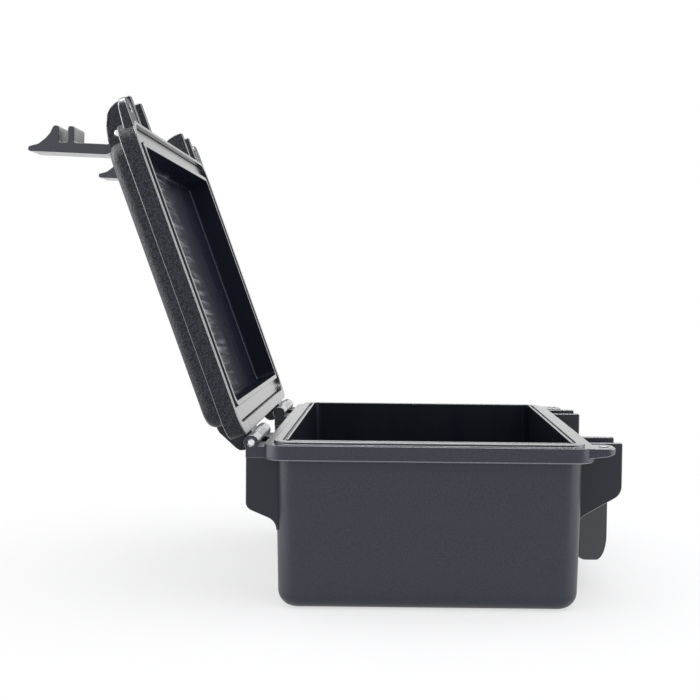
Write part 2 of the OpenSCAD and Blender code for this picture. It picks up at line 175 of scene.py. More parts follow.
class FittingSizes(bpy.types.PropertyGroup):
    """Sizes of the latches and the handle."""
    hub: size("Hub radius", "Radius of a latch's hub", 4.2)
    lever_face: size("Lever face", "From a latch's pivot to its outer face", 9.5)
    lever: size("Lever thickness", "Thickness of a latch's lever", 4.7)
    lever_length: size("Lever length", "From a latch's pivot to its tip", 41.2)
    lever_play: size("Lever play", "Side clearance of a latch in its gap", 0.5)
    handle_half: size("Handle depth", "Half the depth of the handle", 7.4)
    handle_drop: size("Handle drop", "From the handle's pivot to its lower edge", 45.5)
    grip: size("Grip height", "Height of the handle's grip", 18)
    arm: size("Arm thickness", "Thickness of each handle arm", 10)
    arm_play: size("Arm play", "Side clearance of the handle between the cheeks", 0.5)
    handle_pin: size("Handle pin", "Radius of the handle's pins", 2)


class Finishes(bpy.types.PropertyGroup):
    """Colours of the finishes."""
    tub: colour("Tub", "Colour of the tub's fine-grained outside", "#252935")
    lid: colour("Lid", "Colour of the lid's coarse-grained outside", "#1C1F29")
    inside: colour("Inside", "Colour of the moulded inside", "#141722")
    mating: colour("Mating faces", "Colour of the polished faces where lid and tub meet", "#3A3C41")
    # The lid's hollow also gets pale streaks, a painted reflection
    cavity: colour("Lid's hollow", "Colour of the lid's wiped hollow", "#1B1F2B")
    bracket: colour("Brackets", "Colour of the smooth brackets", "#1A1D27")
    # The edges' pale colour is a painted highlight of the light they catch
    edge: colour("Edges", "Colour of the rubbed edges", "#7A7D85")
    fitting: colour("Fittings", "Colour of the latches and the handle", "#19202E")
    rubber: colour("Seal", "Colour of the rubber seal", "#2A2B2D")
    steel: colour("Pins", "Colour of the steel pins", "#DFE1E4")
    floor: colour("Floor", "Colour of the floor", "#F6F7FA")


class StageLight(bpy.types.PropertyGroup):
    """Strength of the lamps and of the light from all round."""
    key: power("Top light", "Power of the light above", 1.2)
    side: power("Side lights", "Power of each side light", 0.35)
    edge: power("Edge light", "Power of the light seen in the edges", 18)
    glow: power("Side glow", "Power of each side light seen in the round corners", 16)
    around: FloatProperty(
        name="Light all round", description="Strength of the pale surroundings", default=1.0, min=0)


class CaseSettings(bpy.types.PropertyGroup):
    """Everything that the case's operators read."""
    shell: PointerProperty(type=ShellSizes)
    tub: PointerProperty(type=TubSizes)
    lid: PointerProperty(type=LidSizes)
    fitting: PointerProperty(type=FittingSizes)
    finish: PointerProperty(type=Finishes)
    light: PointerProperty(type=StageLight)


# Outlines and solids

def round_corner(before, corner, after, radius, steps=ROUND_STEPS):
    """Points of the arc that rounds a corner between its two neighbours."""
    corner, before, after = Vector(corner), Vector(before), Vector(after)
    back, ahead = before - corner, after - corner
    half = back.angle(ahead) / 2
    reach = radius / math.tan(half)
    if reach > min(back.length, ahead.length) * 1.001:
        raise ValueError(f"a radius of {radius / MM:.2f} mm doesn't fit the corner at {corner / MM}")
    back.normalize()
    ahead.normalize()
    centre = corner + (back + ahead).normalized() * radius / math.sin(half)
    start = corner + back * reach - centre
    end = corner + ahead * reach - centre
    turn = math.atan2(start.x * end.y - start.y * end.x, start.dot(end))
    points = []
    for i in range(steps + 1):
        angle = turn * i / steps
        cos, sin = math.cos(angle), math.sin(angle)
        points.append(centre + Vector((start.x * cos - start.y * sin, start.x * sin + start.y * cos)))
    return points


def outline(corners, steps=ROUND_STEPS):
    """Closed outline through corners of (first, second, radius), anticlockwise."""
    points = []
    for i, (a, b, radius) in enumerate(corners):
        if radius == 0:
            points.append(Vector((a, b)))
        else:
            before, after = corners[i - 1], corners[(i + 1) % len(corners)]
            points += round_corner(before[:2], (a, b), after[:2], radius, steps)
    area = sum(p.x * q.y - p.y * q.x for p, q in zip(points, points[1:] + points[:1]))
    return points if area > 0 else points[::-1]


def arc(centre, radius, start, end, steps, radius_up=None):
    """Corners on an arc from one angle in degrees to another."""
    made = []
    for i in range(steps + 1):
        angle = math.radians(start + (end - start) * i / steps)
        x, y = radius * math.cos(angle), (radius_up or radius) * math.sin(angle)
        made.append((centre[0] + x, centre[1] + y, 0))
    return made


def inset(points, distance):
    """An outline moved inwards by a distance."""
    moved = []
    for i, point in enumerate(points):
        back = (point - points[i - 1]).normalized()
        ahead = (points[(i + 1) % len(points)] - point).normalized()
        normal = Vector((-back.y, back.x)) + Vector((-ahead.y, ahead.x))
        normal /= max(normal.dot(Vector((-back.y, back.x))), 0.3)
        moved.append(point + normal * distance)
    return moved


def skin(bm, loops):
    """Joins closed loops of points with quads and closes both ends."""
    rows = [[bm.verts.new(point) for point in loop] for loop in loops]
    for low, high in zip(rows, rows[1:]):
        for i in range(len(low)):
            j = (i + 1) % len(low)
            bm.faces.new((low[i], low[j], high[j], high[i]))
    bm.faces.new(rows[0][::-1])
    bm.faces.new(rows[-1])


def prism(bm, points, start, end, edge, axis="X", steps=4):
    """Extrudes an outline from start to end along X or Z and rounds its end edges."""
    loops = []
    for flip in (False, True):
        side = []
        for i in range(steps + 1):
            angle = math.radians(90 * i / steps)
            depth = edge * (1 - math.sin(angle))
            along = edge * (1 - math.cos(angle))
            place = end - depth if flip else start + depth
            side.append((inset(points, along), place))
        loops += side if flip else side[::-1]
    if axis == "X":
        skin(bm, [[(place, p.x, p.y) for p in flat] for flat, place in loops])
    else:
        skin(bm, [[(p.x, p.y, place) for p in flat] for flat, place in loops])


def turned(bm, centre, profile, axis="X"):
    """Turns a profile of (distance, radius) about an axis through a centre."""
    loops = []
    for along, radius in profile:
        loop = []
        for i in range(TURN_STEPS):
            angle = 2 * math.pi * i / TURN_STEPS
            cos, sin = radius * math.cos(angle), radius * math.sin(angle)
            offset = (along, cos, sin) if axis == "X" else (cos, sin, along)
            loop.append(Vector(centre) + Vector(offset))
        loops.append(loop)
    skin(bm, loops)


def bore(bm, centre, radius, start, end, chamfer, axis="X"):
    """Cutter for a through hole with a chamfer at both mouths."""
    over = 1 * MM
    turned(bm, centre, [
        (start - over, radius + chamfer + over), (start + chamfer, radius),
        (end - chamfer, radius), (end + over, radius + chamfer + over)], axis)


def rounded_rectangle(half_length, half_width, radius, height):
    """Points of a rounded rectangle around the Z axis, anticlockwise from above."""
    points = []
    for quarter, (side_x, side_y) in enumerate(((1, 1), (-1, 1), (-1, -1), (1, -1))):
        for i in range(RING_STEPS + 1):
            angle = math.radians(90 * (quarter + i / RING_STEPS))
            points.append((
                side_x * (half_length - radius) + radius * math.cos(angle),
                side_y * (half_width - radius) + radius * math.sin(angle), height))
    return points


def ring_shell(bm, corners, slimmer):
    """Shell whose wall has the section that the corners give.

    A corner is (half length, height, corner radius, edge radius). Two more values narrow its ring
    along Y and move it back along Y.
    """
    loops = []
    for i, (half, height, radius, edge, *across) in enumerate(corners):
        narrower, back = across or (0, 0)
        rounded = [Vector((half, height))]
        if edge:
            steps = 10 if edge > LARGE_EDGE else 4
            rounded = round_corner(corners[i - 1][:2], (half, height), corners[i + 1][:2], edge, steps)
        for point in rounded:
            ring = rounded_rectangle(
                point.x, point.x - slimmer - narrower, radius + point.x - half, point.y)
            loops.append([(x, y + back, z) for x, y, z in ring])
    skin(bm, loops)


# Meshes and pieces

def new_object(name, build):
    """Object from a build function that fills a bmesh."""
    bm = bmesh.new()
    build(bm)
    bmesh.ops.remove_doubles(bm, verts=bm.verts, dist=0.002 * MM)
    mesh = bpy.data.meshes.new(name)
    bm.to_mesh(mesh)
    bm.free()
    made = bpy.data.objects.new(name, mesh)
    bpy.context.scene.collection.objects.link(made)
    return made


def apply_modifiers(thing):
    """Puts the evaluated mesh in place of the object's own and drops the modifiers."""
    graph = bpy.context.evaluated_depsgraph_get()
    mesh = bpy.data.meshes.new_from_object(thing.evaluated_get(graph), depsgraph=graph)
    old = thing.data
    thing.modifiers.clear()
    thing.data = mesh
    bpy.data.meshes.remove(old)


def combine(thing, operands, operation):
    """Adds or cuts closed solids, one exact boolean for all of them."""
    group = bpy.data.collections.new("operands")
    for operand in operands:
        group.objects.link(operand)
    step = thing.modifiers.new(operation, "BOOLEAN")
    step.operation = operation
    step.operand_type = "COLLECTION"
    step.collection = group
    step.solver = "EXACT"
    apply_modifiers(thing)
    bpy.data.collections.remove(group)
    for operand in operands:
        mesh = operand.data
        bpy.data.objects.remove(operand)
        bpy.data.meshes.remove(mesh)


def finish_piece(thing, body, replaced, kinds, pick=None, pose=None):
    """Smooths, paints and places a piece, and hands it to its body.

    kinds are its finishes, and pick gives the finish of a face.
    """
    mesh = thing.data
    bm = bmesh.new()
    bm.from_mesh(mesh)
    bmesh.ops.remove_doubles(bm, verts=bm.verts, dist=0.003 * MM)
    bmesh.ops.dissolve_degenerate(bm, edges=bm.edges, dist=0.002 * MM)
    bm.to_mesh(mesh)
    bm.free()
    mesh.materials.clear()
    for kind in kinds:
        mesh.materials.append(finish_material(kind))
    for face in mesh.polygons:
        face.use_smooth = True
        face.material_index = kinds.index(pick(face)) if pick else 0
    mesh.set_sharp_from_angle(angle=SHARP_ANGLE)
    weighted = thing.modifiers.new("Weighted normals", "WEIGHTED_NORMAL")
    weighted.mode = "FACE_AREA"
    weighted.weight = 60
    weighted.keep_sharp = True
    apply_modifiers(thing)
    if pose:
        thing.data.transform(pose)
    thing.data.update()
    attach(thing, body)
    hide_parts(*replaced)


def add_node(tree, kind, inputs=(), **settings):
    """Adds a node with its settings, and fills its inputs with values or links.

    A node given as an input stands for its first output in use.
    """
    made = tree.nodes.new(kind)
    for key, value in settings.items():
        setattr(made, key, value)
    for key, value in dict(inputs).items():
        if isinstance(value, bpy.types.Node):
            value = next(output for output in value.outputs if output.enabled)
        if isinstance(value, bpy.types.NodeSocket):
            tree.links.new(value, made.inputs[key])
        else:
            made.inputs[key].default_value = value
    return made


def linear(hex_code, share=1.0):
    """Linear colour of an sRGB hex code, or a share of it."""
    made = []
    for i in (1, 3, 5):
        part = int(hex_code[i:i + 2], 16) / 255
        made.append(share * (part / 12.92 if part <= 0.04045 else ((part + 0.055) / 1.055) ** 2.4))
    return (*made, 1.0)


# Geometry Nodes

def geometry_tree(name, sockets, build):
    """Tree with named inputs, whose geometry a build function makes and which takes the material."""
    tree = bpy.data.node_groups.get(name)
    if tree:
        return tree
    tree = bpy.data.node_groups.new(name, "GeometryNodeTree")
    for label, kind in (("Geometry", "Geometry"), *sockets, ("Material", "Material")):
        tree.interface.new_socket(label, in_out="INPUT", socket_type=f"NodeSocket{kind}")
    tree.interface.new_socket("Geometry", in_out="OUTPUT", socket_type="NodeSocketGeometry")
    node = partial(add_node, tree)
    given = node("NodeGroupInput").outputs
    real = node("GeometryNodeRealizeInstances", {"Geometry": build(node, given)})
    painted = node("GeometryNodeSetMaterial", {"Geometry": real, "Material": given["Material"]})
    node("NodeGroupOutput", {"Geometry": painted})
    return tree


def run_tree(thing, tree, values):
    """Runs a Geometry Nodes tree on an object and keeps the plain mesh."""
    modifier = thing.modifiers.new(tree.name, "NODES")
    modifier.node_group = tree
    sockets = {item.name: item.identifier for item in tree.interface.items_tree if item.in_out == "INPUT"}
    for label, value in values.items():
        modifier[sockets[label]] = value
    apply_modifiers(thing)


LEVELS = ("Inner", "Middle", "Outer")


def rows_along_x(node, given):
    """Repeats the solid along X in nested rows."""
    solid = given["Geometry"]
    for level in LEVELS:
        offset = node("ShaderNodeCombineXYZ", {"X": given[f"{level} pitch"]})
        line = node("GeometryNodeMeshLine", {"Count": given[f"{level} count"], "Offset": offset})
        solid = node("GeometryNodeInstanceOnPoints", {"Points": line, "Instance": solid})
    return solid


def band_along_channel(node, given):
    """Runs a rounded band along a rounded rectangle and lifts it."""
    curves = []
    for width, height, radius, steps in (
            ("Length", "Width", "Corner radius", RING_STEPS),
            ("Band width", "Band thickness", "Edge radius", 4)):
        box = node("GeometryNodeCurvePrimitiveQuadrilateral", {
            "Width": given[width], "Height": given[height]})
        curves.append(node("GeometryNodeFilletCurve", {
            "Curve": box, "Radius": given[radius], "Count": steps}, mode="POLY"))
    swept = node("GeometryNodeCurveToMesh", {
        "Curve": curves[0], "Profile Curve": curves[1], "Fill Caps": True})
    lift = node("ShaderNodeCombineXYZ", {"Z": given["Lift"]})
    return node("GeometryNodeTransform", {"Geometry": swept, "Translation": lift})


def repeated(name, build, *pitches, material=None):
    """Solid that is doubled along X at each pitch in turn."""
    sockets, values = [], {"Material": material}
    for i, level in enumerate(LEVELS):
        doubled = i < len(pitches)
        sockets += [(f"{level} count", "Int"), (f"{level} pitch", "Float")]
        values[f"{level} count"] = 2 if doubled else 1
        values[f"{level} pitch"] = pitches[i] if doubled else 0.0
    thing = new_object(name, build)
    run_tree(thing, geometry_tree("Rows along X", sockets, rows_along_x), values)
    return thing


def slabs(name, side, start, end, edge, *pitches):
    """Slabs of one side view from start to end along X, repeated."""
    return repeated(name, lambda bm: prism(bm, side, start, end, edge), *pitches)


def bores(name, axis, radius, start, end, chamfer, *pitches):
    """Cutters for bores along X about an axis, repeated."""
    return repeated(name, lambda bm: bore(bm, (0, axis.y, axis.z), radius, start, end, chamfer), *pitches)


# Finishes

ABS_IOR = 1.53
# Pale colour of the painted reflection streaks in the lid's hollow
WIPED_PALE = "#8E929C"
# Most of a noise's values lie between these
NOISE_RANGE = {"From Min": 0.3, "From Max": 0.7}


def new_material(name, build, *given, **values):
    """Material whose surface a build function makes from the place on the piece and its own values."""
    made = bpy.data.materials.new(name)
    made.use_nodes = True
    made.node_tree.nodes.clear()
    node = partial(add_node, made.node_tree)
    place = node("ShaderNodeTexCoord").outputs["Object"]
    node("ShaderNodeOutputMaterial", {"Surface": build(node, place, *given, **values)})
    return made


def gloss_and_bump(node, haze, low, high, relief, strength, depth):
    """Shader inputs: roughness from low to high along one noise, and the bump of another."""
    rough = node("ShaderNodeMapRange", {"Value": haze, **NOISE_RANGE, "To Min": low, "To Max": high})
    bump = node("ShaderNodeBump", {"Strength": strength, "Distance": depth, "Height": relief})
    return {"Roughness": rough, "Normal": bump}


def grained_abs(node, place, hex_code, grain, depth, gloss, mottle, shine):
    """Spark-eroded ABS: the mould's pitted steel leaves a pebble that breaks up every reflection."""
    pebble = node("ShaderNodeTexVoronoi", {
        "Vector": place, "Scale": 1 / grain, "Smoothness": 0.6, "Randomness": 1.0}, feature="SMOOTH_F1")
    fine = node("ShaderNodeTexNoise", {
        "Vector": place, "Scale": 1 / (0.7 * grain), "Detail": 3.0, "Roughness": 0.6})
    relief = node("ShaderNodeMath", {0: pebble, 1: -0.8, 2: fine}, operation="MULTIPLY_ADD")
    cloud = node("ShaderNodeTexNoise", {
        "Vector": place, "Scale": 1 / (18 * MM), "Detail": 4.0, "Roughness": 0.55})
    height = node("ShaderNodeMapRange", {"Value": relief, "From Min": -0.05, "From Max": 0.45})
    # The colour follows the relief: the pebble's tops are painted paler, a painted glint, and its pits
    # darker, painted shade
    tint = node("ShaderNodeMix", {
        "Factor": height, "A": linear(hex_code, 1 - mottle), "B": linear(hex_code, 1 + 1.6 * mottle)},
        data_type="RGBA")
    return node("ShaderNodeBsdfPrincipled", {
        "Base Color": tint, "IOR": ABS_IOR, "Specular IOR Level": shine,
        **gloss_and_bump(node, cloud, gloss, gloss + 0.08, relief, 0.5, depth)})


def polished_abs(node, place, hex_code, gloss, coat=0.0, dull=0.0, tint=None):
    """ABS from polished steel: smooth, with faint flow lines and haze in the gloss, and a dull share."""
    flow = node("ShaderNodeMapping", {"Vector": place, "Scale": (1.0, 1.0, 0.2)})
    haze = node("ShaderNodeTexNoise", {
        "Vector": flow, "Scale": 1 / (9 * MM), "Detail": 5.0, "Roughness": 0.6})
    ripple = node("ShaderNodeTexNoise", {
        "Vector": place, "Scale": 1 / (7 * MM), "Detail": 2.0, "Roughness": 0.5})
    colour = linear(hex_code) if tint is None else tint
    shiny = node("ShaderNodeBsdfPrincipled", {
        "Base Color": colour, "IOR": ABS_IOR, "Coat Weight": coat, "Coat Roughness": 1.25 * gloss,
        **gloss_and_bump(node, haze, gloss, 1.5 * gloss, ripple, 0.1, 0.03 * MM)})
    if dull == 0.0:
        return shiny
    flat = node("ShaderNodeBsdfDiffuse", {"Color": colour})
    return node("ShaderNodeMixShader", {0: dull, 1: shiny, 2: flat})


def wiped_abs(node, place, hex_code, gloss, dull, wiped_dull):
    """Polished ABS of the lid's hollow, with pale streaks that feather out across its middle: a painted
    reflection.
    """
    shut = node("ShaderNodeVectorRotate", {
        "Vector": place, "Center": tuple(HINGE), "Angle": LID_OPEN}, rotation_type="X_AXIS")
    slant = node("ShaderNodeVectorRotate", {
        "Vector": shut, "Angle": math.radians(-3)}, rotation_type="Z_AXIS")
    drawn = node("ShaderNodeMapping", {"Vector": slant, "Scale": (0.07, 1.0, 0.2)})
    lines = node("ShaderNodeTexNoise", {
        "Vector": drawn, "Scale": 1 / (3.4 * MM), "Detail": 3.0, "Roughness": 0.65})
    uneven = node("ShaderNodeTexNoise", {"Vector": shut, "Scale": 1 / (22 * MM), "Detail": 2.0})
    parts = node("ShaderNodeSeparateXYZ", {"Vector": shut}).outputs
    reach = node("ShaderNodeMath", {0: uneven, 1: -60 * MM, 2: parts["X"]}, operation="MULTIPLY_ADD")
    # The painted reflection streaks start near one end, stop in the middle, are streaky, and lie only on the
    # lid's top
    marks = None
    for value, way, start, end, low, high in (
            (parts["X"], "SMOOTHSTEP", -75 * MM, -20 * MM, 0.0, 1.0),
            (reach, "SMOOTHSTEP", -50 * MM, -2 * MM, 1.0, 0.0),
            (lines, "SMOOTHSTEP", 0.44, 0.7, 0.1, 1.0),
            (parts["Z"], "LINEAR", HINGE.z + 9 * MM, HINGE.z + 11.5 * MM, 0.0, 1.0)):
        part = node("ShaderNodeMapRange", {
            "Value": value, "From Min": start, "From Max": end, "To Min": low, "To Max": high},
            interpolation_type=way)
        marks = part if marks is None else node("ShaderNodeMath", {0: marks, 1: part}, operation="MULTIPLY")
    tint = node("ShaderNodeMix", {
        "Factor": marks, "A": linear(hex_code), "B": linear(WIPED_PALE)}, data_type="RGBA")
    share = node("ShaderNodeMapRange", {"Value": marks, "To Min": dull, "To Max": wiped_dull})
    return polished_abs(node, place, hex_code, gloss, dull=share, tint=tint)


def satin_abs(node, place, hex_code):
    """Satin ABS of the latches and handle: an even, very fine grain with a soft sheen."""
    # The real texture is finer than 0.1 mm, and it is drawn at 0.35 mm so that it shows
    grain = node("ShaderNodeTexNoise", {
        "Vector": place, "Scale": 1 / (0.35 * MM), "Detail": 2.0, "Roughness": 0.5})
    cloud = node("ShaderNodeTexNoise", {
        "Vector": place, "Scale": 1 / (7 * MM), "Detail": 3.0, "Roughness": 0.5})
    return node("ShaderNodeBsdfPrincipled", {
        "Base Color": linear(hex_code), "IOR": ABS_IOR, "Coat Weight": 0.5, "Coat Roughness": 0.24,
        **gloss_and_bump(node, cloud, 0.2, 0.28, grain, 0.2, 0.02 * MM)})


def rubbed_abs(node, place, hex_code):
    """Edges of the mouldings: smoother, and painted paler as a painted highlight of the light they catch."""
    scuff = node("ShaderNodeTexNoise", {
        "Vector": place, "Scale": 1 / (1.8 * MM), "Detail": 4.0, "Roughness": 0.65})
    tint = node("ShaderNodeMix", {
        "Factor": scuff, "A": linear(hex_code, 0.7), "B": linear(hex_code)}, data_type="RGBA")
    rough = node("ShaderNodeMapRange", {"Value": scuff, **NOISE_RANGE, "To Min": 0.18, "To Max": 0.3})
    return node("ShaderNodeBsdfPrincipled", {
        "Base Color": tint, "Roughness": rough, "IOR": ABS_IOR, "Coat Weight": 0.8, "Coat Roughness": 0.2})


def seal_rubber(node, place, hex_code):
    """Extruded EPDM rubber: dark and soft, with a dull sheen and a faintly uneven skin."""
    uneven = node("ShaderNodeTexNoise", {
        "Vector": place, "Scale": 1 / (0.8 * MM), "Detail": 3.0, "Roughness": 0.6})
    return node("ShaderNodeBsdfPrincipled", {
        "Base Color": linear(hex_code), "IOR": 1.5, "Coat Weight": 0.5, "Coat Roughness": 0.2,
        **gloss_and_bump(node, uneven, 0.16, 0.24, uneven, 0.15, 0.03 * MM)})


def drawn_steel(node, place, hex_code):
    """Drawn steel wire: bright, with fine lines along its length and cut ends."""
    along = node("ShaderNodeMapping", {"Vector": place, "Scale": (0.06, 1.0, 1.0)})
    lines = node("ShaderNodeTexNoise", {
        "Vector": along, "Scale": 1 / (0.15 * MM), "Detail": 3.0, "Roughness": 0.6})
    return node("ShaderNodeBsdfPrincipled", {
        "Base Color": linear(hex_code), "Metallic": 1.0,
        **gloss_and_bump(node, lines, 0.22, 0.36, lines, 0.25, 0.02 * MM)})


# The tub's real grain is finer than 0.3 mm, and it is drawn at 0.5 mm so that it shows
FINISHES = {
    # In both grained finishes the grain's tops are painted paler and its pits darker, as painted glints and
    # painted shade
    "lid": ("Coarse-grained black ABS", grained_abs, {
        "grain": 0.75 * MM, "depth": 0.35 * MM, "gloss": 0.34, "mottle": 1.0, "shine": 0.28}),
    "tub": ("Fine-grained black ABS", grained_abs, {
        "grain": 0.5 * MM, "depth": 0.04 * MM, "gloss": 0.32, "mottle": 0.25, "shine": 0.42}),
    "inside": ("Moulded black ABS", polished_abs, {"gloss": 0.3, "dull": 0.8}),
    "bracket": ("Smooth black ABS", polished_abs, {"gloss": 0.3, "dull": 0.3}),
    "mating": ("Polished black ABS", polished_abs, {"gloss": 0.12, "coat": 0.2}),
    # The hollow's pale streaks are a painted reflection
    "cavity": ("Wiped black ABS", wiped_abs, {"gloss": 0.22, "dull": 0.84, "wiped_dull": 0.5}),
    # The pale edge finish is a painted highlight on the rounded edges
    "edge": ("Rubbed ABS edge", rubbed_abs, {}),
    "fitting": ("Satin black ABS", satin_abs, {}),
    "rubber": ("Extruded EPDM rubber", seal_rubber, {}),
    "steel": ("Drawn steel wire", drawn_steel, {}),
}


def finish_material(kind):
    """The named finish, made once."""
    name, build, values = FINISHES[kind]
    hex_code = getattr(bpy.context.scene.tool_case.finish, kind)
    return bpy.data.materials.get(name) or new_material(name, build, hex_code, **values)


# Pieces of the case

def case_sizes():
    """Sizes of the shells, the tub, the lid and the fittings."""
    settings = bpy.context.scene.tool_case
    return settings.shell, settings.tub, settings.lid, settings.fitting


def latch_rows(shell):
    """Outer cheek's place and the pitches that repeat a cheek at both sides of both latches."""
    start = -shell.length / 2 + shell.latch_inset
    bracket = shell.latch_gap + 2 * shell.cheek
    return start, bracket - shell.cheek, -2 * start - bracket


def hinge_rows(shell):
    """Hinge's outer end, its length and the pitch to the other hinge."""
    start = -shell.length / 2 + shell.hinge_inset
    hinge = 2 * shell.ear + shell.knuckle + 2 * shell.knuckle_gap
    return start, hinge, -2 * start - hinge


def tub_half(shell, tub, height):
    """Half width of the tub's outer wall at a height."""
    full = shell.width / 2 - tub.overhang
    return full - tub.draft * (1 - height / (HINGE.z - tub.flange))


def bracket_outline(root, top, face, lip, corner_radius, corner_height, slope, wall, foot_radius):
    """Side of a bracket: straight edge, round corner, sloping underside and fillet into the wall."""
    slope = math.radians(slope)
    sin, cos = math.sin(slope), math.cos(slope)
    centre = (face - corner_radius, corner_height)
    run = (centre[0] - wall - foot_radius) * sin + corner_radius + foot_radius
    foot = (wall + foot_radius, corner_height - run / cos)
    corners = [(root, top, 0), (face, top, lip)]
    corners += arc(centre, corner_radius, 0, math.degrees(slope) - 90, 8)
    corners += arc(foot, foot_radius, 90 + math.degrees(slope), 180, 6)
    return outline(corners + [(root, foot[1], 0)])


def padlock_tabs(shell, height, side, root, bend=0.0):
    """Two mirrored padlock tabs, thinner towards their round tips, whose outer root may bend back."""
    start = -shell.length / 2 + shell.tab_inset
    front = -shell.width / 2 - shell.tab_reach
    end, back = start + shell.tab_width, -shell.width / 2 + root
    corners = [
        (start, front, shell.tab_corner), (end, front, shell.tab_corner), (end, back, 0),
        (start + 0.4 * shell.tab_width, back, 0), (start + 0.17 * shell.tab_width, back + 0.53 * bend, 0),
        (start, back + bend, 0)]

    def build(bm):
        low, high = sorted((height, height + side * shell.tab))
        for way in (1, -1):
            tab = outline([(way * x, y, radius) for x, y, radius in corners], 9)
            prism(bm, tab, low, high, 0.6 * MM, "Z")
        for vert in bm.verts:
            if abs(vert.co.z - height) > shell.tab / 2:
                share = min(1, max(0, (-shell.width / 2 - vert.co.y) / shell.tab_reach))
                vert.co.z -= side * shell.tab * 0.4 * share

    return new_object("tabs", build)


def shackle_holes(shell, low, high):
    """Cutters for the padlock holes of both tabs."""
    x = -shell.length / 2 + shell.tab_inset + 0.43 * shell.tab_width
    hole = (x, -shell.width / 2 - shell.shackle_out, 0)
    return repeated("shackle holes", lambda bm: bore(
        bm, hole, shell.shackle, low, high, 0.3 * MM, "Z"), -2 * x)


